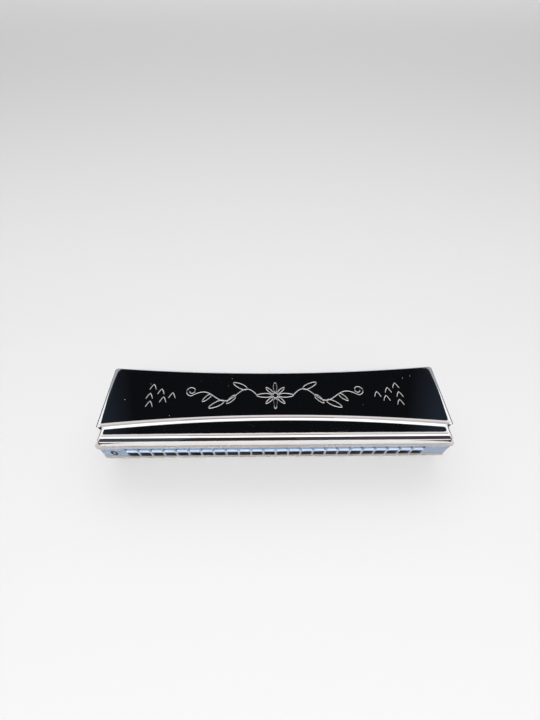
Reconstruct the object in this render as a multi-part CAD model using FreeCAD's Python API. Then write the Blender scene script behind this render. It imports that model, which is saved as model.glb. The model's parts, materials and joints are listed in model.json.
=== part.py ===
import FreeCAD, Part

import os

from FreeCAD import Vector

# Tremolo harmonica with 24 columns of two mouth cells: a comb between two reed plates, a reed over
# every cell, and a drawn sheet-metal cover above and below. The lower half mirrors the upper half.
# Frame: +X from the bass end to the treble end, +Y from the mouth side to the back, +Z up. The
# origin is the centre of the base of the bounding box. Lengths are in millimetres.

# Overall
overall_depth = 45.0
columns = 24
cell_pitch = 6.38

# Comb
comb_length = 178.0
comb_depth = 39.0
comb_height = 9.2
comb_setback = 0.5
comb_corner = 1.2
cell_width = 5.35
cell_height = 3.7
cell_run_out = 5.8
shelf_rounding = 0.6

# Reed plates
plate_thickness = 0.9
plate_corner = 1.0
slot_width = 2.5
slot_past_root = 0.3
slot_past_tip = 0.25

# Reeds: a moving tongue in front of a root pad that is riveted to the plate
reed_tip_setback = 6.0
bass_reed_length = 22.0
treble_reed_length = 11.0
reed_width = 2.3
reed_thickness = 0.25
reed_lift = 0.06
weighted_reeds = 8
weight_length = 4.0
weight_thickness = 0.25
pad_width = 3.2
pad_length = 5.0
pad_thickness = 0.5
root_gap = 0.1

# Rivets and screws
fit_gap = 0.05
rivet_radius = 0.58
rivet_head_radius = 0.95
rivet_head_height = 0.35
rivet_crown_share = 0.6
plate_screw_radius = 0.7
plate_screw_head_radius = 1.3
plate_screw_head_height = 0.6
plate_screw_reach = 3.2
plate_screw_side = 82.0
plate_screw_distances = (9.0, 30.0)
back_screw_x = (-50.0, -25.0, 0.0, 25.0, 50.0)
back_screw_distance = 36.2
cover_screw_radius = 0.7
cover_screw_head_radius = 1.4
cover_screw_head_height = 0.8
cover_screw_reach = 5.5
recess_width = 0.4
recess_depth = 0.35
recess_share = 0.62
head_rounding_share = 0.5
point_share = 0.3

# Covers: a lip along the mouth side, a half-round nose, a shelf, then a low step up to the flat
# panel. The nose is shorter than the panel, which leaves an open corner beside each of its ends.
sheet = 0.6
panel_height = 7.5
cover_clearance = 0.05
lip_length = 180.0
lip_thickness = 1.0
lip_corner = 2.4
lip_rounding = 0.42
lip_run = 7.4
nose_length = 175.4
nose_start = 1.0
nose_crown = 5.1
nose_height = 6.4
nose_end_rounding = 1.1
shelf_overlap = 3.0
step_at_ends = 9.0
step_at_middle = 13.4
step_rounding = 1.0
end_rounding = 2.6
waist = 4.2
hem_radius = 0.65
corner_opening_back = 9.5
ear_width = 7.0
ear_drop = 4.2
ear_corner = 1.6
ear_hole_radius = 0.95
ear_distances = (15.0, 34.0)
ear_screw_drop = 2.75

# Levels and places that follow from the sizes above
front = -overall_depth / 2
comb_front = front + comb_setback
comb_back = comb_front + comb_depth
comb_bottom = panel_height + plate_thickness
comb_top = comb_bottom + comb_height
plate_bottom = comb_top
plate_top = plate_bottom + plate_thickness
middle = (comb_bottom + comb_top) / 2
cover_half = comb_length / 2 + cover_clearance + sheet
tip_y = front + reed_tip_setback
side_screws = [
    (side * plate_screw_side, front + y) for y in plate_screw_distances for side in (-1, 1)
]
back_screws = [(x, front + back_screw_distance) for x in back_screw_x]
plate_screw_places = side_screws + back_screws


def block(x0, x1, y0, y1, z0, z1):
    return Part.makeBox(x1 - x0, y1 - y0, z1 - z0, Vector(x0, y0, z0))


def post(radius, x, y, z0, z1):
    return Part.makeCylinder(radius, z1 - z0, Vector(x, y, z0))


def rod_along_x(radius, x0, x1, y, z):
    return Part.makeCylinder(radius, abs(x1 - x0), Vector(x0, y, z), Vector(x1 - x0, 0, 0))


def line(a, b):
    return Part.LineSegment(a, b).toShape()


def arc(a, through, b):
    return Part.Arc(a, through, b).toShape()


def prism(edges, travel):
    return Part.Face(Part.Wire(edges)).extrude(travel)


def lower(shape):
    """The mirror image that serves the lower half."""
    return shape.mirror(Vector(0, 0, middle), Vector(0, 0, 1))


def edges_where(shape, test):
    """Edges whose two ends and middle all pass a test on their points."""
    found = []
    for edge in shape.Edges:
        places = [v.Point for v in edge.Vertexes]
        places.append(edge.valueAt((edge.FirstParameter + edge.LastParameter) / 2))
        if all(test(p) for p in places):
            found.append(edge)
    return found


def upright_edges(shape):
    def is_upright(edge):
        ends = [v.Point for v in edge.Vertexes]
        return len(ends) == 2 and abs(ends[0].z - ends[1].z) > 0.1 and ends[0].distanceToPoint(
            ends[1]
        ) - abs(ends[0].z - ends[1].z) < 1e-6

    return [edge for edge in shape.Edges if is_upright(edge)]


# Columns and reeds


def column_x(i):
    return (i - (columns - 1) / 2) * cell_pitch


def reed_length(i):
    """Reeds shorten by the same ratio from each column to the next."""
    share = i / (columns - 1)
    return bass_reed_length * (treble_reed_length / bass_reed_length) ** share


def root_y(i):
    return tip_y + reed_length(i)


def is_outside(i):
    """Blow reeds sit on the plate's inner face, and draw reeds, in every second column, outside."""
    return i % 2 == 1


def layer(i, near, far):
    """Heights of a layer on the face of the upper plate that carries reed i."""
    if is_outside(i):
        return plate_top + near, plate_top + far
    return plate_bottom - far, plate_bottom - near


# Comb and plates


def rounded_off_shelf(left):
    """What is missing at one cell where the shelf between the rows has a rounded front edge."""
    y = comb_front + shelf_rounding
    z = comb_top - cell_height - shelf_rounding
    corner = block(left, left + cell_width, comb_front - 1, y, z, comb_top - cell_height / 2)
    return corner.cut(rod_along_x(shelf_rounding, left, left + cell_width, y, z))


def comb():
    half = comb_length / 2
    body = block(-half, half, comb_front, comb_back, comb_bottom, comb_top)
    body = body.makeFillet(comb_corner, upright_edges(body))
    cuts = []
    for i in range(columns):
        left = column_x(i) - cell_width / 2
        back = root_y(i) + cell_run_out
        cell = block(
            left, left + cell_width, comb_front - 1, back, comb_top - cell_height, comb_top + 1
        )
        edge = rounded_off_shelf(left)
        cuts += [cell, edge, lower(cell), lower(edge)]
    for x, y in plate_screw_places:
        hole = post(
            plate_screw_radius + fit_gap, x, y, comb_top - plate_screw_reach - fit_gap, comb_top + 1
        )
        cuts += [hole, lower(hole)]
    for side, y, z in ear_screw_places():
        inner = side * (half - cover_screw_reach)
        hole = rod_along_x(cover_screw_radius + fit_gap, inner, side * (half + 1), y, z)
        cuts += [hole, lower(hole)]
    return body.cut(cuts)


def upper_reed_plate():
    half = comb_length / 2
    body = block(-half, half, comb_front, comb_back, plate_bottom, plate_top)
    body = body.makeFillet(plate_corner, upright_edges(body))
    low = plate_bottom - 1
    high = plate_top + 1
    cuts = []
    for i in range(columns):
        left = column_x(i) - slot_width / 2
        slot_front = tip_y - slot_past_tip
        slot_back = root_y(i) + slot_past_root
        cuts.append(block(left, left + slot_width, slot_front, slot_back, low, high))
        cuts.append(post(rivet_radius + fit_gap, column_x(i), rivet_y(i), low, high))
    for x, y in plate_screw_places:
        cuts.append(post(plate_screw_radius + fit_gap, x, y, low, high))
    return body.cut(cuts)


# Reeds, pads and rivets


def pad_front(i):
    return root_y(i) + root_gap


def rivet_y(i):
    return pad_front(i) + pad_length / 2


def upper_tongue(i):
    left = column_x(i) - reed_width / 2
    z0, z1 = layer(i, reed_lift, reed_lift + reed_thickness)
    tongue = block(left, left + reed_width, tip_y, root_y(i), z0, z1)
    if i >= weighted_reeds:
        return tongue
    under = reed_lift + reed_thickness
    w0, w1 = layer(i, under, under + weight_thickness)
    weight = block(left, left + reed_width, tip_y, tip_y + weight_length, w0, w1)
    return tongue.fuse(weight).removeSplitter()


def upper_pad(i):
    left = column_x(i) - pad_width / 2
    z0, z1 = layer(i, 0, pad_thickness)
    pad = block(left, left + pad_width, pad_front(i), pad_front(i) + pad_length, z0, z1)
    return pad.cut(post(rivet_radius + fit_gap, column_x(i), rivet_y(i), z0 - 1, z1 + 1))


def upper_rivet(i):
    z0, z1 = layer(i, pad_thickness, pad_thickness + rivet_head_height)
    place = Vector(column_x(i), rivet_y(i), z0)
    wide = rivet_head_radius
    narrow = rivet_head_radius * rivet_crown_share
    if is_outside(i):
        head = Part.makeCone(wide, narrow, rivet_head_height, place)
        shank = post(rivet_radius, place.x, place.y, plate_bottom, z0)
    else:
        head = Part.makeCone(narrow, wide, rivet_head_height, place)
        shank = post(rivet_radius, place.x, place.y, z1, plate_top)
    return head.fuse(shank).removeSplitter()


# Screws


def cross_recess(radius, depth, low):
    """A cross of two slots, open upward from the height low."""
    arm = radius * recess_share
    half = recess_width / 2
    return block(-arm, arm, -half, half, low, low + depth + 1).fuse(
        block(-half, half, -arm, arm, low, low + depth + 1)
    )


def screw(radius, head_radius, head_height, reach):
    """A screw that points down, with the underside of its head at the origin."""
    head = Part.makeCylinder(head_radius, head_height)
    rim = edges_where(head, lambda p: p.z > head_height - 0.01)
    head = head.makeFillet(head_height * head_rounding_share, rim)
    head = head.cut(cross_recess(head_radius, recess_depth, head_height - recess_depth))
    tip = radius
    shank = Part.makeCylinder(radius, reach - tip, Vector(0, 0, tip - reach))
    point = Part.makeCone(radius * point_share, radius, tip, Vector(0, 0, -reach))
    return head.fuse([shank, point]).removeSplitter()


def upper_plate_screws():
    one = screw(
        plate_screw_radius,
        plate_screw_head_radius,
        plate_screw_head_height,
        plate_screw_reach + plate_thickness,
    )
    return [one.translated(Vector(x, y, plate_top)) for x, y in plate_screw_places]


def ear_screw_places():
    """Side, depth and height of the screws that hold the upper cover's ears to the comb's ends."""
    z = plate_top - ear_screw_drop
    return [(side, front + y, z) for side in (-1, 1) for y in ear_distances]


def upper_cover_screws():
    one = screw(
        cover_screw_radius,
        cover_screw_head_radius,
        cover_screw_head_height,
        cover_screw_reach,
    )
    screws = []
    for side, y, z in ear_screw_places():
        turned = one.rotated(Vector(0, 0, 0), Vector(0, 1, 0), side * 90)
        screws.append(turned.translated(Vector(side * cover_half, y, z)))
    return screws


# Covers


def nose_form(inset, base):
    """Half-round nose and shelf as one bar along X, moved inward by inset."""
    centre = Vector(0, front + nose_crown, plate_top + lip_thickness)
    rise = nose_height - lip_thickness - inset
    run = nose_crown - nose_start - inset
    start = centre + Vector(0, -run, 0)
    top = centre + Vector(0, 0, rise)
    oval = Part.Ellipse(top, start, centre)
    quarter = sorted((oval.parameter(top), oval.parameter(start)))
    round_edge = Part.ArcOfEllipse(oval, *quarter).toShape()
    shelf_back = top + Vector(0, step_at_middle - nose_crown + shelf_overlap, 0)
    half = nose_length / 2 - inset
    ring = [
        round_edge,
        line(top, shelf_back),
        line(shelf_back, Vector(0, shelf_back.y, base)),
        line(Vector(0, shelf_back.y, base), Vector(0, start.y, base)),
        line(Vector(0, start.y, base), start),
    ]
    bar = prism(Part.__sortEdges__(ring), Vector(2 * half, 0, 0))
    return bar.translated(Vector(-half, 0, 0))


def panel_form(inset, base, past_back):
    """Raised panel between the curved step and the waisted back edge, moved inward by inset."""
    half = cover_half - inset
    step_end = front + step_at_ends + inset
    step_mid = front + step_at_middle + inset
    back_end = front + overall_depth + past_back
    back_mid = back_end - waist
    corners = [Vector(-half, step_end, base), Vector(half, step_end, base)]
    corners += [Vector(half, back_end, base), Vector(-half, back_end, base)]
    ring = [
        arc(corners[0], Vector(0, step_mid, base), corners[1]),
        line(corners[1], corners[2]),
        arc(corners[2], Vector(0, back_mid, base), corners[3]),
        line(corners[3], corners[0]),
    ]
    top = plate_top + panel_height - inset
    form = prism(ring, Vector(0, 0, top - base))
    ends = edges_where(form, lambda p: p.z > top - 0.01 and abs(p.x) > half - 0.01)
    form = form.makeFillet(end_rounding - inset, ends)

    def on_step(p):
        return p.z > top - end_rounding and p.y < step_mid + 0.01

    def across(edge):
        return edge.BoundBox.XLength > comb_length / 2

    step = [edge for edge in edges_where(form, on_step) if across(edge)]
    return form.makeFillet(step_rounding - inset, step)


def lip_form():
    """Flat rim around the nose that lies on the reed plate, wider than the comb at its ends."""
    half = lip_length / 2
    z = plate_top
    back = front + lip_run
    bend = lip_corner * (1 - 0.5**0.5)
    ring = [
        line(Vector(-half + lip_corner, front, z), Vector(half - lip_corner, front, z)),
        line(Vector(-cover_half, back, z), Vector(cover_half, back, z)),
    ]
    for side in (-1, 1):
        start = Vector(side * (half - lip_corner), front, z)
        through = Vector(side * (half - bend), front + bend, z)
        end = Vector(side * half, front + lip_corner, z)
        ring += [arc(start, through, end), line(end, Vector(side * cover_half, back, z))]
    rim = prism(Part.__sortEdges__(ring), Vector(0, 0, lip_thickness))

    def is_outer(edge):
        return edge.BoundBox.ZLength < 0.01 and edge.BoundBox.YMin < front + lip_corner + 0.01

    return rim.makeFillet(lip_rounding, [edge for edge in rim.Edges if is_outer(edge)])


def hem():
    """Rolled edge under the back of the panel."""
    half = cover_half - end_rounding
    z = plate_top + panel_height - hem_radius
    y = front + overall_depth - hem_radius
    path = Part.Wire(arc(Vector(-half, y, z), Vector(0, y - waist, z), Vector(half, y, z)))
    direction = path.Edges[0].tangentAt(path.Edges[0].FirstParameter)
    start = path.Edges[0].valueAt(path.Edges[0].FirstParameter)
    ring = Part.Wire(Part.Circle(start, direction, hem_radius).toShape())
    return path.makePipeShell([ring], True, True)


def open_corners():
    """What is cut away beside each end of the nose, from the lip up."""
    cut = block(
        nose_length / 2 + fit_gap,
        cover_half + 1,
        front + step_at_ends / 2,
        front + corner_opening_back,
        plate_top + lip_thickness,
        plate_top + panel_height + 1,
    )
    return [cut, cut.mirror(Vector(0, 0, 0), Vector(1, 0, 0))]


def ears():
    """Tabs that reach down from the end walls over the ends of the comb."""
    tabs = []
    for side, y, z in ear_screw_places():
        x0, x1 = sorted((side * (cover_half - sheet), side * cover_half))
        low = plate_top - ear_drop
        tab = block(x0, x1, y - ear_width / 2, y + ear_width / 2, low, plate_top + 1)
        tab = tab.makeFillet(
            ear_corner,
            [e for e in edges_where(tab, lambda p: p.z < low + 0.01) if e.BoundBox.XLength > 0.1],
        )
        tabs.append(tab.cut(rod_along_x(ear_hole_radius, x0 - 1, x1 + 1, y, z)))
    return tabs


def upper_cover():
    base = plate_top
    under = plate_top - 1
    nose = nose_form(0, base)

    def at_end(p):
        return abs(p.x) > nose_length / 2 - 0.01 and p.z > base + 0.01

    round_ends = [e for e in edges_where(nose, at_end) if e.BoundBox.YMax < front + nose_crown + 0.1]
    nose = nose.makeFillet(nose_end_rounding, round_ends)
    skin = nose.fuse([panel_form(0, base, 0), lip_form()])
    inside = nose_form(sheet, under).fuse(panel_form(sheet, under, 5))
    hollow = skin.cut([inside] + open_corners())
    return hollow.fuse(ears() + [hem()]).removeSplitter()


def export(name, shapes):
    whole = shapes if isinstance(shapes, Part.Shape) else Part.makeCompound(shapes)
    whole.exportStep("parts/" + name + ".step")


def main():
    os.makedirs("parts", exist_ok=True)
    cover = upper_cover()
    plate = upper_reed_plate()
    tongues = [upper_tongue(i) for i in range(columns)]
    pads = [upper_pad(i) for i in range(columns)]
    rivets = [upper_rivet(i) for i in range(columns)]
    plate_screws = upper_plate_screws()
    cover_screws = upper_cover_screws()
    export("comb", comb())
    export("upper_reed_plate", plate)
    export("lower_reed_plate", lower(plate))
    export("upper_cover", cover)
    export("lower_cover", lower(cover))
    export("upper_reed_pads", pads)
    export("lower_reed_pads", [lower(pad) for pad in pads])
    export("upper_rivets", rivets)
    export("lower_rivets", [lower(rivet) for rivet in rivets])
    export("upper_plate_screws", plate_screws)
    export("lower_plate_screws", [lower(one) for one in plate_screws])
    export("cover_screws", cover_screws + [lower(one) for one in cover_screws])
    for i, tongue in enumerate(tongues):
        number = "%02d" % (i + 1)
        export("upper_reed_" + number, tongue)
        export("lower_reed_" + number, lower(tongue))


main()
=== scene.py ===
import json
import math

import bmesh
import bpy
from mathutils import Matrix, Vector

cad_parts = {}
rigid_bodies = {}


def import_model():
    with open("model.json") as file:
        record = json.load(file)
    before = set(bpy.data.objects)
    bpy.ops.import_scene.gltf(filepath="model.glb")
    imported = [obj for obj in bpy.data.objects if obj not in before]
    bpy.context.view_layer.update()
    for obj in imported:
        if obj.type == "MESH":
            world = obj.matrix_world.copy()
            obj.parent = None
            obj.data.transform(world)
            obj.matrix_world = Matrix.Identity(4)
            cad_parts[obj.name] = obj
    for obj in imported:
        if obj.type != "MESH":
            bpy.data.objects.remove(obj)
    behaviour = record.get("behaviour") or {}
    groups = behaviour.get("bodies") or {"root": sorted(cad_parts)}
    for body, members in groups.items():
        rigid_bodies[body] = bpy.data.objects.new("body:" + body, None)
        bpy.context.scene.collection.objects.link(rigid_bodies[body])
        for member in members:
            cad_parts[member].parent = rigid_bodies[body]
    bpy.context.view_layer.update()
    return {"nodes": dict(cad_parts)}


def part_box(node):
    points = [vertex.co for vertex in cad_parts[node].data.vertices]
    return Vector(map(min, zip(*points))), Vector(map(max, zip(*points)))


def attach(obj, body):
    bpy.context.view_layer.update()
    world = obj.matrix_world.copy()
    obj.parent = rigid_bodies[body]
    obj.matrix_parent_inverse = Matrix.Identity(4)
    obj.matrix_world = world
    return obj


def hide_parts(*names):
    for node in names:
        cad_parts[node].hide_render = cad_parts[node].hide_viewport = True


MM = 0.001

# Camera: place in millimetres, aim in degrees
CAMERA_PLACE = (-5.2, -88.4, 174.6)
CAMERA_PITCH = 52.09
CAMERA_YAW = -1.34
CAMERA_ROLL = 0.76
CAMERA_LENS = 16.39
CAMERA_SENSOR = 36.0
CAMERA_CLIP = (0.01, 50.0)

# Cover: lengths in millimetres, y from the lip's front edge, z from the reed plate's outer face
SHEET = 0.6
LIFT = 0.02
PANEL_Z = 7.5
COVER_HALF = 90.2
END_ROUND = 3.1
END_DRAFT = 0.5
EAR_X = 89.65
NOSE_HALF = 87.7
NOSE_END_ROUND = 1.3
CROWN_END_ROUND = 2.8
ROUND_GROWS = 0.45
SHELF_END_ROUND = 2.8
NOSE_START = 0.75
NOSE_CROWN = 4.78
NOSE_Z = 6.6
LIP_Z = 1.0
LIP_HALF = 90.0
LIP_CORNER = 2.4
LIP_ROUND = 0.26
LIP_FALL = 0.16
LIP_INNER = (85.6, 3.2)
LIP_RUN = 7.4
LIP_PAST_NOSE = 0.1
LIP_HELD = (0.03, 0.004)
LIP_TUCK = 0.2
STEP_TOP_MIDDLE = 14.65
STEP_TOP_ENDS = 10.2
# The step's (radius, height) in the middle and at the ends, and where along x it changes
STEP_MIDDLE = (4.7, 0.9)
STEP_ENDS = (5.3, 0.97)
STEP_CHANGE = (30.0, 88.0)
FOOT_REACH = 0.15
CORNER_BACK = 8.5
BACK = 45.0
WAIST = 4.2
HEM = 0.65
EAR_WIDTH = 7.0
EAR_DROP = 4.2
EAR_HOLE = 0.95
EAR_Y = (15.0, 34.0)
EAR_CORNER = 1.6
EAR_SCREW_DROP = 2.75

# How finely the cover is divided: points of its profile, then steps along it
NOSE_STEPS = 28
SHELF_STEPS = 10
FOOT_STEPS = 5
STEP_STEPS = 16
PANEL_STEPS = 14
STEP_ROW = 1 + NOSE_STEPS + 1 + SHELF_STEPS + FOOT_STEPS - 1
TOP_STATIONS = 110
ROUND_STATIONS = 10
WALL_STATIONS = 6
HEM_POINTS = 14
LIP_POINTS = 8
LIP_FRONT = range(-84, 85, 6)
EAR_POINTS = 40

# Embossing on the panel, x and y in millimetres from the middle of the cover
RIDGE_WIDTH = 0.50
CHEVRON_WIDTH = 0.42
RIDGE_HEIGHT = 0.12
RIDGE_SINK = 0.004
RIDGE_STEPS = 4
SHARPEST_MITRE = 0.35
ORNAMENT_Y = 3.6
# Petals: (degrees, length)
PETALS = ((0, 8.0), (45, 5.2), (90, 6.2), (135, 5.2))
PETAL_SLENDER = 0.36
PETAL_ROOT = 1.2
HUB = (1.5, 1.5)
OVAL_POWER = 1.6
OVAL_STEPS = 48
SCROLL_START = 9.5
SCROLL_END = 44.5
SCROLL_RISE = 4.4
SCROLL_FADE = 0.55
SCROLL_WAVES = 1.5
SCROLL_STEPS = 80
CURL_RADIUS = 3.0
CURL_FADE = 0.68
CURL_TURNS = 1.25
CURL_STEPS = 44
# Leaves: (share of the way along the scroll, length, lean in radians)
LEAVES = (
    (0.16, 8.5, 0.50),
    (0.33, 6.5, -0.85),
    (0.50, 8.5, 0.50),
    (0.70, 6.0, -0.80),
)
LEAF_SLENDER = 0.40
LEAF_TAPER = 0.35
LEAF_STEPS = 24
# Chevrons: (x, y) of each peak, and each side's points as shares of the width and depth
PEAKS = ((65.3, 11.0), (60.6, 8.1), (66.2, 5.4), (54.4, 5.6), (58.8, 3.1), (65.4, 0.6))
PEAK_WIDTH = 3.6
PEAK_DEPTH = 3.4
PEAK_SIDE = ((1.0, 0.0), (0.86, 0.22), (0.42, 0.72))

# Painted highlight on the comb's front, along the edge between its two rows of cells, in
# millimetres: half length, half height, depth, soft edge
CELL_FIELD = 76.1
PAINTED_HIGHLIGHT_HEIGHT = 0.85
PAINTED_HIGHLIGHT_DEPTH = 0.7
PAINTED_HIGHLIGHT_FADE = 0.25

# Ring printed on the comb, in millimetres: place from the comb's end, front and middle height, then
# its edges as (half width, half height, how far it stands off the place)
MARK_PLACE = (6.5, -0.02, -0.4)
MARK_RINGS = ((1.7, 2.55, 0.0), (1.65, 2.5, 0.03), (0.72, 1.2, 0.03), (0.67, 1.15, 0.0))
MARK_POINTS = 40

# Colours of each material, in pairs that its procedural pattern blends
CHROME_COLOURS = ((0.89, 0.885, 0.88), (0.83, 0.83, 0.84))
LIP_COLOURS = ((0.80, 0.755, 0.72), (0.69, 0.64, 0.60))
COMB_COLOURS = ((0.175, 0.270, 0.425), (0.20, 0.295, 0.45))
# Colour of the painted highlight, blended over the comb's own colour on the edge between its rows of
# cells
PAINTED_HIGHLIGHT_COLOUR = (0.46, 0.57, 0.74)
PLATE_COLOURS = ((0.70, 0.67, 0.61), (0.58, 0.55, 0.49))
REED_COLOURS = ((0.80, 0.62, 0.36), (0.70, 0.52, 0.28))
RIVET_COLOURS = ((0.72, 0.55, 0.30), (0.62, 0.46, 0.24))
SCREW_COLOURS = ((0.70, 0.69, 0.67), (0.58, 0.57, 0.55))
INK_COLOURS = ((0.012, 0.014, 0.022), (0.03, 0.034, 0.048))
FLAG_COLOURS = ((0.015, 0.015, 0.015), (0.025, 0.025, 0.025))

# Edge rounding of the CAD pieces, in millimetres, and its steps on the comb
COMB_BEVEL = 0.2
COMB_BEVEL_STEPS = 4
PLATE_BEVEL = 0.06
PAD_BEVEL = 0.05
REED_BEVEL = 0.03

# Mesh clean-up in metres, and the angles in degrees that count as flat, sharp or bevelled
SAME_PLACE = 1e-6
NO_LENGTH = 1e-7
FLAT_ANGLE = 1.0
SHARP_ANGLE = 35.0
BEVEL_ANGLE = 40.0

# How far a metal's grain is drawn out along each axis
GRAIN_EVEN = (1.0, 1.0, 1.0)
GRAIN_ALONG_X = (0.08, 1.0, 1.0)
GRAIN_ALONG_Y = (1.0, 0.08, 1.0)

# Stage, in metres and watts
FLOOR_COLOUR = (0.49, 0.49, 0.495)
FLOOR_HALF = 6.0
KEY_PLACE = (0.0, -0.52, 0.95)
KEY_AIM = (0.0, 0.0, 0.02)
KEY_SIZE = (0.9, 0.3)
KEY_POWER = 14.0
CEILING_PLACE = (0.0, 0.4, 3.0)
CEILING_SIZE = (6.0, 6.0)
CEILING_POWER = 20.0
FAR_CEILING_PLACE = (0.0, 3.6, 2.4)
FAR_CEILING_SIZE = (7.0, 4.0)
FAR_CEILING_POWER = 130.0
SKY_COLOUR = (0.86, 0.84, 0.84)
SKY_STRENGTH = 0.66

# Softbox that only reflections see: its angle is up from the back, round the X axis
SOFTBOX_AIM = (0.0, -0.02, 0.02)
SOFTBOX_ANGLE = 121.0
SOFTBOX_DISTANCE = 0.78
SOFTBOX_HALF_WIDTH = 0.19
SOFTBOX_HALF_LENGTH = 1.1
SOFTBOX_GLOW = (1.35, 1.35, 1.38)
SIDE_CARD_X = 0.6
SIDE_CARD_HALF = 0.5
SIDE_CARD_LOW = 0.02
SIDE_CARD_TOP = 0.8
SIDE_CARD_GLOW = (1.0, 1.0, 1.0)

# The dark card that the flat panels reflect: y, (left, right), (low, high). It lightens from black
# to slate between two distances from the middle, which lean outward with height
BACK_CARD = (0.060, (-0.185, 0.185), (0.078, 0.202))
BLACK = (0.0045, 0.0050, 0.0062)
SLATE = (0.015, 0.020, 0.029)
SLATE_EDGE = (0.084, 0.112)
SLATE_LEAN = 0.292

# Upright cards that only reflections see: name, y, (left, right), (low, high), glow
CARDS = (
    ("low_back_card", 0.0605, (-0.185, 0.185), (0.0, 0.078), (0.40, 0.41, 0.43)),
    ("top_card", 0.066, (-0.9, 0.9), (0.200, 1.4), (0.84, 0.79, 0.785)),
    ("front_left_card", -0.42, (-0.9, -0.15), (0.03, 0.42), (0.062, 0.064, 0.074)),
    ("front_middle_card", -0.42, (-0.15, 0.05), (0.03, 0.42), (0.03, 0.022, 0.02)),
    ("front_right_card", -0.42, (0.05, 0.9), (0.03, 0.42), (0.060, 0.046, 0.048)),
)
# Level cards: name, (left, right), (near, far), height, glow
FLAT_CARDS = (
    ("dip_card", (-0.13, 0.10), (-0.125, -0.015), 0.40, (0.40, 0.37, 0.36)),
    ("left_floor_card", (-0.34, -0.108), (-0.12, 0.12), 0.0006, (0.05, 0.055, 0.065)),
    ("right_floor_card", (0.108, 0.34), (-0.12, 0.12), 0.0006, (0.05, 0.055, 0.065)),
)
BACKDROP_RADIUS = 5.6
BACKDROP_HEIGHT = 14.0
BACKDROP_SIDES = 96
BACKDROP_GLOW = (0.80, 0.80, 0.81)

# Black flag on the floor before the comb: (left, right), (near, far), height
FLAG = ((-0.16, 0.16), (-0.14, -0.024), 0.0003)


def smooth(a, b, x):
    """0 below a, 1 above b, eased between."""
    t = min(1.0, max(0.0, (x - a) / (b - a)))
    return t * t * (3 - 2 * t)


def mix(a, b, t):
    """From a at t = 0 to b at t = 1."""
    return a + (b - a) * t


# ---------------------------------------------------------------- materials
# Noise scales are per metre, bump distances in metres, and a ramp's numbers are low, high, a, b.


class Nodes:
    """Short way to build one node material."""

    def __init__(self, name):
        self.material = bpy.data.materials.new(name)
        self.material.use_nodes = True
        self.tree = self.material.node_tree
        self.shader = self.tree.nodes["Principled BSDF"]
        self.place = self.add("ShaderNodeTexCoord").outputs["Object"]

    def add(self, kind, **values):
        node = self.tree.nodes.new(kind)
        for key, value in values.items():
            setattr(node, key, value)
        return node

    def link(self, source, target):
        self.tree.links.new(source, target)

    def scaled(self, x, y, z):
        node = self.add("ShaderNodeVectorMath", operation="MULTIPLY")
        self.link(self.place, node.inputs[0])
        node.inputs[1].default_value = (x, y, z)
        return node.outputs[0]

    def noise(self, scale, detail=2.0, vector=None, roughness=0.5):
        node = self.add("ShaderNodeTexNoise")
        node.inputs["Scale"].default_value = scale
        node.inputs["Detail"].default_value = detail
        node.inputs["Roughness"].default_value = roughness
        self.link(vector or self.place, node.inputs["Vector"])
        return node.outputs["Fac"]

    def ramp(self, source, low, high, a, b):
        """Maps low..high of a value to a..b, clamped."""
        node = self.add("ShaderNodeMapRange")
        self.link(source, node.inputs["Value"])
        for key, value in zip(("From Min", "From Max", "To Min", "To Max"), (low, high, a, b)):
            node.inputs[key].default_value = value
        return node.outputs["Result"]

    def blend(self, factor, a, b):
        node = self.add("ShaderNodeMix", data_type="RGBA")
        self.link(factor, node.inputs["Factor"])
        for socket, value in ((node.inputs["A"], a), (node.inputs["B"], b)):
            if isinstance(value, bpy.types.NodeSocket):
                self.link(value, socket)
            else:
                socket.default_value = (*value, 1.0)
        return node.outputs["Result"]

    def maths(self, operation, a, b):
        node = self.add("ShaderNodeMath", operation=operation)
        for socket, value in zip(node.inputs, (a, b)):
            if isinstance(value, bpy.types.NodeSocket):
                self.link(value, socket)
            else:
                socket.default_value = value
        return node.outputs[0]

    def pair(self, source, low, high, colours):
        """Blends two colours as a value goes from low to high."""
        return self.blend(self.ramp(source, low, high, 0.0, 1.0), *colours)

    def glow(self, colour, strength):
        """Makes the surface give light and reflect none."""
        self.set("Base Color", (0.0, 0.0, 0.0, 1.0))
        self.set("Specular IOR Level", 0.0)
        self.set("Emission Color", colour)
        self.set("Emission Strength", strength)

    def bump(self, height, strength, distance, below=None):
        node = self.add("ShaderNodeBump")
        node.inputs["Strength"].default_value = strength
        node.inputs["Distance"].default_value = distance
        self.link(height, node.inputs["Height"])
        if below is not None:
            self.link(below, node.inputs["Normal"])
        return node.outputs["Normal"]

    def set(self, key, value):
        if isinstance(value, bpy.types.NodeSocket):
            self.link(value, self.shader.inputs[key])
        else:
            self.shader.inputs[key].default_value = value


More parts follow.
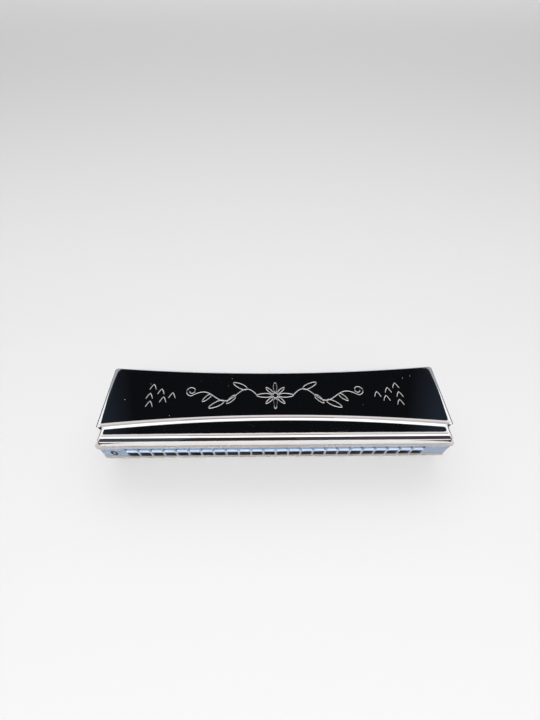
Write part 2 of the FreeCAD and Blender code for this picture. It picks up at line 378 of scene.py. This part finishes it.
def chrome():
    """The covers' polished finish, with smudges, fine scratches and specks of dust."""
    m = Nodes("polished_chrome")
    smudge = m.noise(55.0, 4.0, roughness=0.6)
    scratch_a = m.noise(900.0, 3.0, m.scaled(0.06, 1.0, 1.0), 0.7)
    scratch_b = m.noise(700.0, 2.0, m.scaled(1.0, 0.12, 1.0), 0.6)
    cells = m.add("ShaderNodeTexVoronoi")
    cells.inputs["Scale"].default_value = 260.0
    m.link(m.place, cells.inputs["Vector"])
    near = m.ramp(cells.outputs["Distance"], 0.025, 0.05, 1.0, 0.0)
    picked = m.ramp(m.noise(130.0, 0.0), 0.62, 0.66, 0.0, 1.0)
    dust = m.maths("MULTIPLY", near, picked)
    m.set("Base Color", m.pair(smudge, 0.35, 0.75, CHROME_COLOURS))
    m.set("Metallic", m.ramp(dust, 0.0, 1.0, 1.0, 0.2))
    film = m.ramp(smudge, 0.45, 0.75, 0.025, 0.075)
    m.set("Roughness", m.maths("ADD", film, m.ramp(scratch_a, 0.6, 0.8, 0.0, 0.06)))
    first = m.bump(scratch_a, 0.018, 0.0002)
    m.set("Normal", m.bump(scratch_b, 0.012, 0.0002, first))
    return m.material


def worn_chrome():
    """The lip's finish, dulled by lips and fingers."""
    m = Nodes("worn_chrome")
    rub = m.noise(90.0, 4.0, m.scaled(0.25, 1.0, 1.0), 0.6)
    scratch = m.noise(1100.0, 3.0, m.scaled(0.08, 1.0, 1.0), 0.7)
    m.set("Base Color", m.pair(rub, 0.35, 0.7, LIP_COLOURS))
    m.set("Metallic", 1.0)
    m.set("Roughness", m.ramp(rub, 0.3, 0.75, 0.20, 0.36))
    m.set("Normal", m.bump(scratch, 0.05, 0.0001))
    return m.material


def painted_highlight_edge(m):
    """How much painted highlight lies on the edge between the two rows of cells, 0 to 1."""
    lo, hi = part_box("comb")
    axes = m.add("ShaderNodeSeparateXYZ")
    m.link(m.place, axes.inputs[0])
    level = m.maths("SUBTRACT", axes.outputs["Z"], (lo.z + hi.z) / 2)
    height = m.maths("ABSOLUTE", level, 0.0)
    reach = m.maths("ABSOLUTE", axes.outputs["X"], 0.0)

    def inside(value, edge):
        return m.ramp(value, edge, edge + PAINTED_HIGHLIGHT_FADE * MM, 1.0, 0.0)

    near = inside(height, PAINTED_HIGHLIGHT_HEIGHT * MM)
    within = inside(reach, CELL_FIELD * MM)
    front = inside(axes.outputs["Y"], lo.y + PAINTED_HIGHLIGHT_DEPTH * MM)
    patchy = m.ramp(m.noise(160.0, 3.0), 0.3, 0.7, 0.8, 1.0)
    return m.maths("MULTIPLY", m.maths("MULTIPLY", near, within), m.maths("MULTIPLY", front, patchy))


def comb_plastic():
    """The comb's moulded plastic, faintly cloudy and grained, with a painted highlight on the edge
    between its two rows of cells.
    """
    m = Nodes("blue_grey_plastic")
    cloud = m.noise(40.0, 3.0)
    grain = m.noise(1500.0, 2.0)
    base = m.pair(cloud, 0.3, 0.7, COMB_COLOURS)
    # Painted highlight: the edge between the two rows of cells is blended to a pale colour
    m.set("Base Color", m.blend(painted_highlight_edge(m), base, PAINTED_HIGHLIGHT_COLOUR))
    m.set("Roughness", m.ramp(cloud, 0.3, 0.7, 0.20, 0.30))
    m.set("Subsurface Weight", 0.08)
    m.set("Subsurface Radius", (0.6, 0.7, 1.0))
    m.set("Subsurface Scale", 0.001)
    m.set("Coat Weight", 0.6)
    m.set("Coat Roughness", 0.08)
    m.set("Normal", m.bump(grain, 0.12, 0.00004))
    return m.material


def brass(name, colours, roughness, drawn):
    """Rolled, milled or plated brass, with its grain drawn out along an axis."""
    m = Nodes(name)
    grain = m.noise(2200.0, 3.0, m.scaled(*drawn), 0.6)
    tarnish = m.noise(70.0, 4.0, roughness=0.6)
    m.set("Base Color", m.pair(tarnish, 0.35, 0.7, colours))
    m.set("Metallic", 1.0)
    rough = m.ramp(tarnish, 0.3, 0.7, roughness - 0.05, roughness + 0.07)
    m.set("Roughness", m.maths("ADD", rough, m.ramp(grain, 0.3, 0.7, -0.04, 0.06)))
    m.set("Normal", m.bump(grain, 0.10, 0.00006))
    return m.material


def nickel():
    """The screws' plating."""
    m = Nodes("nickel_screw")
    turned = m.noise(1800.0, 2.0)
    wear = m.noise(300.0, 3.0)
    m.set("Base Color", m.pair(wear, 0.35, 0.7, SCREW_COLOURS))
    m.set("Metallic", 1.0)
    m.set("Roughness", m.ramp(wear, 0.3, 0.7, 0.22, 0.36))
    m.set("Normal", m.bump(turned, 0.10, 0.00005))
    return m.material


def ink():
    """The matt print on the comb."""
    m = Nodes("printed_ink")
    speck = m.noise(2500.0, 2.0)
    m.set("Base Color", m.pair(speck, 0.35, 0.7, INK_COLOURS))
    m.set("Roughness", m.ramp(speck, 0.3, 0.7, 0.5, 0.65))
    m.set("Specular IOR Level", 0.15)
    m.set("Normal", m.bump(speck, 0.1, 0.00003))
    return m.material


def floor_paint():
    """The plain pale floor."""
    m = Nodes("pale_floor")
    m.set("Base Color", (*FLOOR_COLOUR, 1.0))
    m.set("Roughness", 0.85)
    m.set("Specular IOR Level", 0.2)
    return m.material


# ---------------------------------------------------------------- cover shape


def back_y(x):
    """The waisted back edge."""
    return BACK - WAIST * (1 - (x / COVER_HALF) ** 2)


def step_shape(x):
    """Radius and height of the step, and how far it turns from flat, at x."""
    t = smooth(*STEP_CHANGE, abs(x))
    radius = mix(STEP_MIDDLE[0], STEP_ENDS[0], t)
    height = mix(STEP_MIDDLE[1], STEP_ENDS[1], t)
    return radius, height, math.acos(1 - height / radius)


def step_top(x):
    """Where the step meets the flat panel, which bows back in the middle."""
    return mix(STEP_TOP_MIDDLE, STEP_TOP_ENDS, (x / COVER_HALF) ** 2)


def profile(x):
    """(y, z) points of the cover from the lip to the back edge in the plane at x."""
    points = [(NOSE_START, LIFT)]
    for i in range(NOSE_STEPS + 1):
        turn = math.pi / 2 * (1 - i / NOSE_STEPS)
        y = NOSE_CROWN - (NOSE_CROWN - NOSE_START) * math.sin(turn)
        points.append((y, LIP_Z + (NOSE_Z - LIP_Z) * math.cos(turn)))
    radius, height, tilt = step_shape(x)
    top = step_top(x)
    foot = top - radius * math.sin(tilt)
    floor = PANEL_Z - height

    def shelf(y):
        return mix(NOSE_Z, floor, smooth(NOSE_CROWN, foot, y))

    shelf_end = foot - FOOT_REACH
    for i in range(1, SHELF_STEPS + 1):
        y = mix(NOSE_CROWN, shelf_end, i / SHELF_STEPS)
        points.append((y, shelf(y)))
    step_start = tilt - FOOT_REACH / radius
    rise = (top - radius * math.sin(step_start), PANEL_Z - radius * (1 - math.cos(step_start)))
    for i in range(1, FOOT_STEPS):
        t = i / FOOT_STEPS
        a, b, c = (1 - t) ** 2, 2 * t * (1 - t), t * t
        y = a * shelf_end + b * foot + c * rise[0]
        points.append((y, a * shelf(shelf_end) + b * floor + c * rise[1]))
    for i in range(STEP_STEPS + 1):
        turn = step_start * (1 - i / STEP_STEPS)
        points.append((top - radius * math.sin(turn), PANEL_Z - radius * (1 - math.cos(turn))))
    end = back_y(x) - HEM
    for i in range(1, PANEL_STEPS + 1):
        points.append((mix(top, end, i / PANEL_STEPS), PANEL_Z))
    return points


def inward(points, i):
    """Unit vector into the cover from the profile's point i."""
    (y0, z0), (y1, z1) = points[max(i - 1, 0)], points[min(i + 1, len(points) - 1)]
    size = math.hypot(y1 - y0, z1 - z0)
    return (z1 - z0) / size, -(y1 - y0) / size


def corner_row():
    """The first profile point behind the open corner, at the cover's ends."""
    points = profile(COVER_HALF - END_ROUND)
    return next(i for i in range(STEP_ROW + 1, len(points)) if points[i][0] > CORNER_BACK)


def end_shape(i, corner):
    """Half length and end rounding of profile row i."""
    if i >= corner:
        return COVER_HALF, END_ROUND
    if i <= NOSE_STEPS:
        grown = smooth(ROUND_GROWS * NOSE_STEPS, NOSE_STEPS, i)
        return NOSE_HALF, mix(NOSE_END_ROUND, CROWN_END_ROUND, grown)
    past = min(1.0, (i - NOSE_STEPS) / SHELF_STEPS)
    return NOSE_HALF, mix(CROWN_END_ROUND, SHELF_END_ROUND, past)


def stations():
    """The steps along the cover: (kind, side, share)."""
    left = [("wall", -1, i / WALL_STATIONS) for i in range(WALL_STATIONS)]
    left += [("round", -1, 1 - i / ROUND_STATIONS) for i in range(ROUND_STATIONS)]
    top = [("top", 1, 2 * i / TOP_STATIONS - 1) for i in range(TOP_STATIONS + 1)]
    right = [(kind, 1, share) for kind, side, share in reversed(left)]
    return left + top + right


def cover_point(station, i, corner):
    """Where profile row i passes a station: on the top, the rounded end or the end wall."""
    kind, side, share = station
    half, rounding = end_shape(i, corner)
    if kind == "top":
        x = share * (half - rounding)
        y, z = profile_at(x)[i]
        return x, y, z
    x_flat = half - rounding
    points = profile_at(x_flat)
    turn = share * math.pi / 2 if kind == "round" else math.pi / 2
    inset = rounding * (1 - math.cos(turn))
    dy, dz = inward(points, i)
    y = points[i][0] + dy * inset
    z = max(points[i][1] + dz * inset, LIFT)
    x = x_flat + rounding * math.sin(turn)
    if kind == "wall":
        z = mix(LIFT, z, share)
        if i >= corner:
            x -= END_DRAFT * (1 - share)
    return side * x, y, z


PROFILES = {}


def profile_at(x):
    """The profile at x, worked out once."""
    key = round(x, 6)
    if key not in PROFILES:
        PROFILES[key] = profile(x)
    return PROFILES[key]


def add_grid(mesh, rows, closed=False, keep=None):
    """Quads between rows of points; keep(i, j) says which are wanted."""
    made = [[mesh.verts.new(Vector(p) * MM) for p in row] for row in rows]
    count = len(made[0])
    for i in range(len(made) - 1):
        for j in range(count if closed else count - 1):
            if keep is None or keep(i, j):
                k = (j + 1) % count
                mesh.faces.new((made[i][j], made[i][k], made[i + 1][k], made[i + 1][j]))
    return made


def add_tube(mesh, rows):
    """A closed grid with a face on each end."""
    made = add_grid(mesh, rows, closed=True)
    mesh.faces.new(made[0])
    mesh.faces.new(list(reversed(made[-1])))


def turns(count, start=0.0):
    """Angles evenly round a circle."""
    return [2 * math.pi * (k + start) / count for k in range(count)]


def along(path, i):
    """From the point before i to the point after it."""
    return path[min(i + 1, len(path) - 1)] - path[max(i - 1, 0)]


def drop_doubles(mesh):
    """Joins points in the same place and takes out what has no length."""
    bmesh.ops.remove_doubles(mesh, verts=mesh.verts, dist=SAME_PLACE)
    bmesh.ops.dissolve_degenerate(mesh, edges=mesh.edges, dist=NO_LENGTH)


def thicken(mesh, thickness):
    """Gives an open surface an inner skin and closes its edges."""
    outer = list(mesh.faces)
    open_edges = [edge for edge in mesh.edges if edge.is_boundary]
    inner = {v: mesh.verts.new(v.co - v.normal * thickness) for v in list(mesh.verts)}
    for edge in open_edges:
        loop = edge.link_loops[0]
        a, b = loop.vert, loop.link_loop_next.vert
        mesh.faces.new((b, a, inner[a], inner[b]))
    for face in outer:
        mesh.faces.new([inner[v] for v in reversed(face.verts)])


def cover_sheet():
    """The pressed sheet: nose, shelf, step, panel and end walls, open at its front corners."""
    corner = corner_row()
    line = stations()
    count = len(profile_at(0.0))
    mesh = bmesh.new()
    rows = [[cover_point(s, i, corner) for s in line] for i in range(count)]
    flat = range(WALL_STATIONS + ROUND_STATIONS, WALL_STATIONS + ROUND_STATIONS + TOP_STATIONS)
    add_grid(mesh, rows, keep=lambda i, j: i != corner - 1 or j in flat)
    drop_doubles(mesh)
    bmesh.ops.recalc_face_normals(mesh, faces=mesh.faces)
    mesh.normal_update()
    thicken(mesh, SHEET * MM)
    return mesh


def cover_hem(mesh):
    """The rolled back edge, down both end walls too."""
    corner = corner_row()
    last = len(profile_at(0.0)) - 1
    path = [Vector(cover_point(s, last, corner)) for s in stations()]
    rows = []
    back = Vector((0, 1, 0))
    for i, point in enumerate(path):
        run = along(path, i)
        out = Vector((-run.z, 0, run.x)).normalized()
        centre = point - out * HEM
        ring = [out * math.cos(turn) + back * math.sin(turn) for turn in turns(HEM_POINTS)]
        rows.append([centre + arm * HEM for arm in ring])
    add_tube(mesh, rows)


def lip_outline():
    """Points round the lip's outer edge in plan, from the left end to the right end."""
    points = []
    for i in range(LIP_POINTS + 1):
        turn = math.pi / 2 * i / LIP_POINTS
        x = LIP_HALF - LIP_CORNER + LIP_CORNER * math.cos(turn)
        points.append((x, LIP_CORNER - LIP_CORNER * math.sin(turn)))
    end = NOSE_HALF + LIP_PAST_NOSE
    side = [(mix(end, LIP_HALF, t), mix(LIP_RUN, LIP_CORNER, t)) for t in (0, 0.5)]
    half = side + points
    left = [Vector((-x, y)) for x, y in half]
    front = [Vector((x, 0)) for x in LIP_FRONT]
    right = [Vector((x, y)) for x, y in reversed(half)]
    return left + front + right


def lip_section():
    """(distance in from the edge, z) points of the lip: its top falls a little towards the edge."""
    corner = [math.pi / 2 * i / LIP_POINTS for i in range(LIP_POINTS + 1)]
    bottom = [(LIP_ROUND * (1 - math.sin(t)), LIFT + LIP_ROUND * (1 - math.cos(t))) for t in corner]
    top_z = LIP_Z - LIP_FALL
    top = [(LIP_ROUND * (1 - math.cos(t)), top_z - LIP_ROUND * (1 - math.sin(t))) for t in corner]
    held = (LIP_ROUND + LIP_HELD[0], top_z + LIP_HELD[1])
    return bottom + top + [held, (NOSE_START + LIP_TUCK, LIP_Z)]


def cover_lip(mesh):
    """The flat lip along the front edge, round both corners to the nose's ends."""
    path = lip_outline()
    rows = []
    for i, point in enumerate(path):
        run = along(path, i).normalized()
        into = Vector((-run.y, run.x))
        inner_x = math.copysign(min(abs(point.x), LIP_INNER[0]), point.x)
        inner_y = max(point.y, LIP_INNER[1])
        row = [(inner_x, inner_y, LIFT)]
        row += [(*(point + into * d), z) for d, z in lip_section()]
        rows.append(row + [(inner_x, inner_y, LIP_Z)])
    add_tube(mesh, rows)
    drop_doubles(mesh)


def cover_ear(mesh, side, y):
    """A tab over the comb's end: its outline joined to its screw hole, and given thickness."""
    wide = EAR_WIDTH / 2
    up = EAR_SCREW_DROP - LIFT
    down = EAR_DROP - EAR_SCREW_DROP
    flat_wide, flat_down = wide - EAR_CORNER, down - EAR_CORNER
    outline, hole = [], []
    for turn in turns(EAR_POINTS, 0.5):
        c, s = math.cos(turn), math.sin(turn)
        scale = min(wide / max(abs(c), 1e-6), (up if s > 0 else down) / max(abs(s), 1e-6))
        a, b = c * scale, s * scale
        if s < 0 and abs(a) > flat_wide and -b > flat_down:
            arm = Vector((abs(a) - flat_wide, -b - flat_down)).normalized() * EAR_CORNER
            a, b = math.copysign(flat_wide + arm.x, a), -(flat_down + arm.y)
        outline.append((a, b - EAR_SCREW_DROP))
        hole.append((c * EAR_HOLE, s * EAR_HOLE - EAR_SCREW_DROP))
    outer = side * EAR_X
    inner = side * (EAR_X - SHEET)
    rings = [(outer, outline), (outer, hole), (inner, hole), (inner, outline)]
    made = add_grid(mesh, [[(x, y + a, z) for a, z in ring] for x, ring in rings], closed=True)
    for k in range(EAR_POINTS):
        n = (k + 1) % EAR_POINTS
        mesh.faces.new((made[3][k], made[3][n], made[0][n], made[0][k]))


def ridge(mesh, path, width=RIDGE_WIDTH):
    """A raised line with a rounded back along a path on the panel."""
    rows = []
    for i, point in enumerate(path):
        before = (point - path[i - 1]).normalized() if i else None
        after = (path[i + 1] - point).normalized() if i < len(path) - 1 else None
        run = ((before or after) + (after or before)).normalized()
        across = Vector((run.y, -run.x))
        if before and after:
            across /= max(SHARPEST_MITRE, across.dot(Vector((after.y, -after.x))))
        end = 1.0 if before and after else 0.0
        row = []
        for k in range(-RIDGE_STEPS, RIDGE_STEPS + 1):
            t = k / RIDGE_STEPS
            z = PANEL_Z - RIDGE_SINK + RIDGE_HEIGHT * end * math.cos(t * math.pi / 2) ** 2
            row.append((*(point + across * t * width / 2), z))
        rows.append(row)
    add_grid(mesh, rows)


def chevron(x, y):
    """A line up to a peak at (x, y) and down again, a little bent on each side."""
    foot = y - PEAK_DEPTH
    side = [(PEAK_WIDTH / 2 * wide, PEAK_DEPTH * tall) for wide, tall in PEAK_SIDE]
    left = [Vector((x - dx, foot + dy)) for dx, dy in side]
    right = [Vector((x + dx, foot + dy)) for dx, dy in reversed(side)]
    return left + [Vector((x, y))] + right


def pointed_oval(x, y, half_width, half_height):
    """A closed outline with a point at each end."""
    rim = []
    for i in range(OVAL_STEPS + 1):
        turn = 2 * math.pi * i / OVAL_STEPS
        c, s = math.cos(turn), math.sin(turn)
        dy = half_height * math.copysign(abs(s) ** OVAL_POWER, s)
        rim.append(Vector((x + half_width * c, y + dy)))
    return rim


def leaf(x, y, length, width, angle):
    """An outline of a leaf that grows from (x, y) at an angle."""
    rim = []
    c, s = math.cos(angle), math.sin(angle)
    for i in range(LEAF_STEPS + 1):
        turn = 2 * math.pi * i / LEAF_STEPS
        reach = length * (1 - math.cos(turn)) / 2
        across = width / 2 * math.sin(turn) * (1 - LEAF_TAPER * reach / length)
        rim.append(Vector((x + reach * c - across * s, y + reach * s + across * c)))
    return rim


def scroll_height(t):
    """The scroll's height over the ornament's middle line, t of the way along it."""
    return SCROLL_RISE * (1 - SCROLL_FADE * t) * math.sin(SCROLL_WAVES * 2 * math.pi * t)


def scroll(side):
    """A wave that runs outward from the centre and ends in a curl."""
    path = []
    for i in range(SCROLL_STEPS + 1):
        t = i / SCROLL_STEPS
        x = side * mix(SCROLL_START, SCROLL_END, t)
        path.append(Vector((x, ORNAMENT_Y + scroll_height(t))))
    curl = Vector((side * SCROLL_END, ORNAMENT_Y + CURL_RADIUS))
    for i in range(1, CURL_STEPS + 1):
        t = i / CURL_STEPS
        turn = -math.pi / 2 + side * CURL_TURNS * 2 * math.pi * t
        reach = CURL_RADIUS * (1 - CURL_FADE * t)
        path.append(curl + Vector((math.cos(turn), math.sin(turn))) * reach)
    return path


def ornament():
    """A plain scroll with leaves on each side of a rosette."""
    lines = [pointed_oval(0.0, ORNAMENT_Y, *HUB)]
    for degrees, length in PETALS:
        for turn in (math.radians(degrees), math.radians(degrees + 180)):
            x = math.cos(turn) * HUB[0] * PETAL_ROOT
            y = ORNAMENT_Y + math.sin(turn) * HUB[1] * PETAL_ROOT
            lines.append(leaf(x, y, length, length * PETAL_SLENDER, turn))
    for side in (-1, 1):
        lines.append(scroll(side))
        for t, length, lean in LEAVES:
            x = side * mix(SCROLL_START, SCROLL_END, t)
            up = 1 if scroll_height(t) > 0 else -1
            angle = math.pi / 2 - side * (math.pi / 2 - lean)
            root = ORNAMENT_Y + scroll_height(t)
            lines.append(leaf(x, root, length, length * LEAF_SLENDER, angle * up))
    return lines


def cover_embossing(mesh):
    """The chevrons and the ornament, raised on the panel."""
    offset = Vector((0, BACK / 2))
    for x, y in PEAKS:
        for side in (-1, 1):
            ridge(mesh, [p + offset for p in chevron(side * x, y)], CHEVRON_WIDTH)
    for line in ornament():
        ridge(mesh, [p + offset for p in line])


def join(parts):
    """One mesh of several, which are used up."""
    whole = bmesh.new()
    for part in parts:
        data = bpy.data.meshes.new("part")
        part.to_mesh(data)
        part.free()
        whole.from_mesh(data)
        bpy.data.meshes.remove(data)
    return whole


def closed_part(build, *args):
    """A mesh of its own for one part of the cover, with its faces turned outward."""
    part = bmesh.new()
    build(part, *args)
    bmesh.ops.recalc_face_normals(part, faces=part.faces)
    return part


def cover_mesh():
    """The whole cover; its lip has the second material."""
    sheet = cover_sheet()
    lip = closed_part(cover_lip)
    for face in lip.faces:
        face.material_index = 1
    parts = [sheet, closed_part(cover_hem), lip]
    parts += [closed_part(cover_ear, side, y) for side in (-1, 1) for y in EAR_Y]
    relief = bmesh.new()
    cover_embossing(relief)
    relief.normal_update()
    for face in relief.faces:
        if face.normal.z < 0:
            face.normal_flip()
    return join(parts + [relief])


def new_object(name, mesh, *materials):
    """An object of a mesh, smooth except at its sharp edges."""
    data = bpy.data.meshes.new(name)
    mesh.to_mesh(data)
    mesh.free()
    data.shade_smooth()
    data.set_sharp_from_angle(angle=math.radians(SHARP_ANGLE))
    for material in materials:
        data.materials.append(material)
    piece = bpy.data.objects.new(name, data)
    bpy.context.scene.collection.objects.link(piece)
    return piece


def build_covers(*materials):
    """Both covers in place of the CAD ones; the lower one is a mirror image."""
    plate_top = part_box("upper_reed_plate")[1].z
    plate_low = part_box("lower_reed_plate")[0].z
    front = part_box("upper_cover")[0].y
    for half in ("upper", "lower"):
        mesh = cover_mesh()
        if half == "upper":
            place = Matrix.Translation((0, front, plate_top))
        else:
            place = Matrix.Translation((0, front, plate_low)) @ Matrix.Diagonal((1, 1, -1, 1))
        bmesh.ops.transform(mesh, matrix=place, verts=mesh.verts)
        if half == "lower":
            bmesh.ops.reverse_faces(mesh, faces=mesh.faces)
        shell = new_object(half + "_cover_shell", mesh, *materials)
        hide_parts(half + "_cover")
        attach(shell, "instrument")


# ---------------------------------------------------------------- comb, plates, reeds, screws


def give(node, material, bevel=0.0, segments=2):
    """A material, and softened edges, for a CAD node that stays."""
    piece = frame["nodes"][node]
    piece.data.materials.clear()
    piece.data.materials.append(material)
    if bevel:
        weld = piece.modifiers.new("weld", "WELD")
        weld.merge_threshold = SAME_PLACE
        flat = piece.modifiers.new("flat", "DECIMATE")
        flat.decimate_type = "DISSOLVE"
        flat.angle_limit = math.radians(FLAT_ANGLE)
        soft = piece.modifiers.new("bevel", "BEVEL")
        soft.width = bevel * MM
        soft.segments = segments
        soft.limit_method = "ANGLE"
        soft.angle_limit = math.radians(BEVEL_ANGLE)
        soft.harden_normals = True


def build_mark(material):
    """A plain printed ring on the comb's front, left of the cells."""
    lo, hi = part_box("comb")
    centre = Vector((lo.x, lo.y, (lo.z + hi.z) / 2)) + Vector(MARK_PLACE) * MM
    mesh = bmesh.new()
    rows = []
    for wide, tall, proud in MARK_RINGS:
        rows.append([(wide * math.cos(t), -proud, tall * math.sin(t)) for t in turns(MARK_POINTS)])
    add_grid(mesh, rows, closed=True)
    bmesh.ops.recalc_face_normals(mesh, faces=mesh.faces)
    for face in mesh.faces:
        if face.normal.y > 0:
            face.normal_flip()
    bmesh.ops.translate(mesh, vec=centre, verts=mesh.verts)
    mark = new_object("key_mark", mesh, material)
    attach(mark, "instrument")


def dress_nodes():
    """Materials for the CAD nodes that stay."""
    plate = brass("plated_sheet", PLATE_COLOURS, 0.30, GRAIN_ALONG_X)
    reed = brass("milled_brass", REED_COLOURS, 0.28, GRAIN_ALONG_Y)
    rivet = brass("peened_brass", RIVET_COLOURS, 0.36, GRAIN_EVEN)
    screw = nickel()
    give("comb", comb_plastic(), COMB_BEVEL, COMB_BEVEL_STEPS)
    for half in ("upper", "lower"):
        give(half + "_reed_plate", plate, PLATE_BEVEL)
        give(half + "_reed_pads", reed, PAD_BEVEL)
        give(half + "_rivets", rivet)
        give(half + "_plate_screws", screw)
    give("cover_screws", screw)
    for name in frame["nodes"]:
        if "_reed_" in name and name[-1].isdigit():
            give(name, reed, REED_BEVEL)


# ---------------------------------------------------------------- stage


def build_camera():
    """The camera that was fitted to the photograph."""
    pitch = math.radians(CAMERA_PITCH)
    turn = Matrix.Rotation(math.radians(CAMERA_YAW), 3, "Z")
    ahead = turn @ Vector((0, math.cos(pitch), -math.sin(pitch)))
    up = turn @ Vector((0, math.sin(pitch), math.cos(pitch)))
    right = turn @ Vector((1, 0, 0))
    roll = math.radians(CAMERA_ROLL)
    side = right * math.cos(roll) + up * math.sin(roll)
    upright = up * math.cos(roll) - right * math.sin(roll)
    data = bpy.data.cameras.new("camera")
    data.lens = CAMERA_LENS
    data.sensor_width = CAMERA_SENSOR
    data.clip_start, data.clip_end = CAMERA_CLIP
    camera = bpy.data.objects.new("camera", data)
    bpy.context.scene.collection.objects.link(camera)
    axes = Matrix((side, upright, -ahead)).transposed().to_4x4()
    camera.matrix_world = Matrix.Translation(Vector(CAMERA_PLACE) * MM) @ axes
    bpy.context.scene.camera = camera


def seen_only_by(piece, rays):
    """Hides a piece of the studio from every kind of ray but one."""
    for kind in ("camera", "glossy", "diffuse", "shadow", "transmission"):
        setattr(piece, "visible_" + kind, kind == rays)


def panel(name, corners, material, rays="glossy"):
    """A flat card of the studio, by its four corners in metres, for one kind of ray or for all."""
    data = bpy.data.meshes.new(name)
    data.from_pydata(corners, [], [(0, 1, 2, 3)])
    data.materials.append(material)
    piece = bpy.data.objects.new(name, data)
    bpy.context.scene.collection.objects.link(piece)
    if rays:
        seen_only_by(piece, rays)


def level_corners(sides, ends, z):
    """The corners of a level card between two x and two y places."""
    (left, right), (near, far) = sides, ends
    return [(left, near, z), (right, near, z), (right, far, z), (left, far, z)]


def upright_corners(y, sides, heights):
    """The corners of an upright card that faces the front."""
    (left, right), (low, high) = sides, heights
    return [(left, y, low), (right, y, low), (right, y, high), (left, y, high)]


def card(name, corners, colour):
    """A glowing card that only reflections see."""
    m = Nodes(name + "_paint")
    m.glow((*colour, 1.0), m.ramp(m.noise(9.0, 1.0), 0.3, 0.7, 0.85, 1.15))
    panel(name, corners, m.material)


def build_flag():
    """A black cloth before the comb, for diffuse light from above only: from below it is clear."""
    m = Nodes("flag_cloth")
    weave = m.noise(900.0, 1.0)
    m.set("Base Color", m.blend(weave, *FLAG_COLOURS))
    facing = m.add("ShaderNodeNewGeometry").outputs["Backfacing"]
    m.set("Alpha", m.maths("SUBTRACT", 1.0, facing))
    panel("black_flag", level_corners(*FLAG), m.material, "diffuse")


def build_backdrop():
    """A round pale wall behind the floor, for the camera only."""
    m = Nodes("backdrop_paint")
    m.glow((*BACKDROP_GLOW, 1.0), 1.0)
    mesh = bmesh.new()
    ring = [Vector((math.cos(t), math.sin(t), 0.0)) * BACKDROP_RADIUS for t in turns(BACKDROP_SIDES)]
    rows = [[point / MM + Vector((0, 0, z / MM)) for point in ring] for z in (0.0, BACKDROP_HEIGHT)]
    add_grid(mesh, rows, closed=True)
    wall = new_object("backdrop", mesh, m.material)
    seen_only_by(wall, "camera")


def build_back_card():
    """The dark card that the flat panels reflect, a little lighter towards its ends."""
    m = Nodes("back_card_paint")
    axes = m.add("ShaderNodeSeparateXYZ")
    m.link(m.place, axes.inputs[0])
    reach = m.maths("ABSOLUTE", axes.outputs["X"], 0.0)
    leaned = m.maths("SUBTRACT", reach, m.maths("MULTIPLY", axes.outputs["Z"], SLATE_LEAN))
    m.glow(m.pair(leaned, *SLATE_EDGE, (BLACK, SLATE)), 1.0)
    panel("back_card", upright_corners(*BACK_CARD), m.material)


def build_softbox():
    """The white card over the front that makes the broad highlights."""
    turn = math.radians(SOFTBOX_ANGLE)
    away = Vector((0, math.cos(turn), math.sin(turn)))
    across = Vector((0, -math.sin(turn), math.cos(turn))) * SOFTBOX_HALF_WIDTH
    centre = Vector(SOFTBOX_AIM) + away * SOFTBOX_DISTANCE
    side = Vector((SOFTBOX_HALF_LENGTH, 0, 0))
    low, high = centre - across, centre + across
    card("softbox", [low - side, low + side, high + side, high - side], SOFTBOX_GLOW)


def build_side_cards():
    """Bright cards that the covers' rounded ends reflect."""
    for side, name in ((-1, "left_card"), (1, "right_card")):
        x = side * SIDE_CARD_X
        near, far = -SIDE_CARD_HALF, SIDE_CARD_HALF
        low, high = SIDE_CARD_LOW, SIDE_CARD_TOP
        card(name, [(x, near, low), (x, far, low), (x, far, high), (x, near, high)], SIDE_CARD_GLOW)


def build_stage():
    """The floor, the reflection cards and the sky's soft light."""
    reach = (-FLOOR_HALF, FLOOR_HALF)
    panel("floor", level_corners(reach, reach, 0.0), floor_paint(), None)
    for name, y, sides, heights, colour in CARDS:
        card(name, upright_corners(y, sides, heights), colour)
    for name, sides, ends, z, colour in FLAT_CARDS:
        card(name, level_corners(sides, ends, z), colour)
    world = bpy.data.worlds.new("studio")
    world.use_nodes = True
    sky = world.node_tree.nodes["Background"]
    sky.inputs["Color"].default_value = (*SKY_COLOUR, 1.0)
    sky.inputs["Strength"].default_value = SKY_STRENGTH
    bpy.context.scene.world = world


def build_light(name, place, aim, size, power):
    """A soft light that reflections don't show."""
    data = bpy.data.lights.new(name, "AREA")
    data.shape = "RECTANGLE"
    data.size, data.size_y = size
    data.energy = power
    light = bpy.data.objects.new(name, data)
    bpy.context.scene.collection.objects.link(light)
    light.location = place
    light.rotation_euler = (Vector(aim) - Vector(place)).to_track_quat("-Z", "Y").to_euler()
    light.visible_glossy = False


for leftover in list(bpy.data.objects):
    bpy.data.objects.remove(leftover)
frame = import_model()

build_camera()
build_stage()
build_back_card()
build_flag()
build_backdrop()
build_softbox()
build_side_cards()
build_light("key", KEY_PLACE, KEY_AIM, KEY_SIZE, KEY_POWER)
for name, place, size, power in (
    ("ceiling", CEILING_PLACE, CEILING_SIZE, CEILING_POWER),
    ("far_ceiling", FAR_CEILING_PLACE, FAR_CEILING_SIZE, FAR_CEILING_POWER),
):
    build_light(name, place, (place[0], place[1], 0.0), size, power)
bpy.context.scene.view_settings.view_transform = "Standard"

build_covers(chrome(), worn_chrome())
dress_nodes()
build_mark(ink())
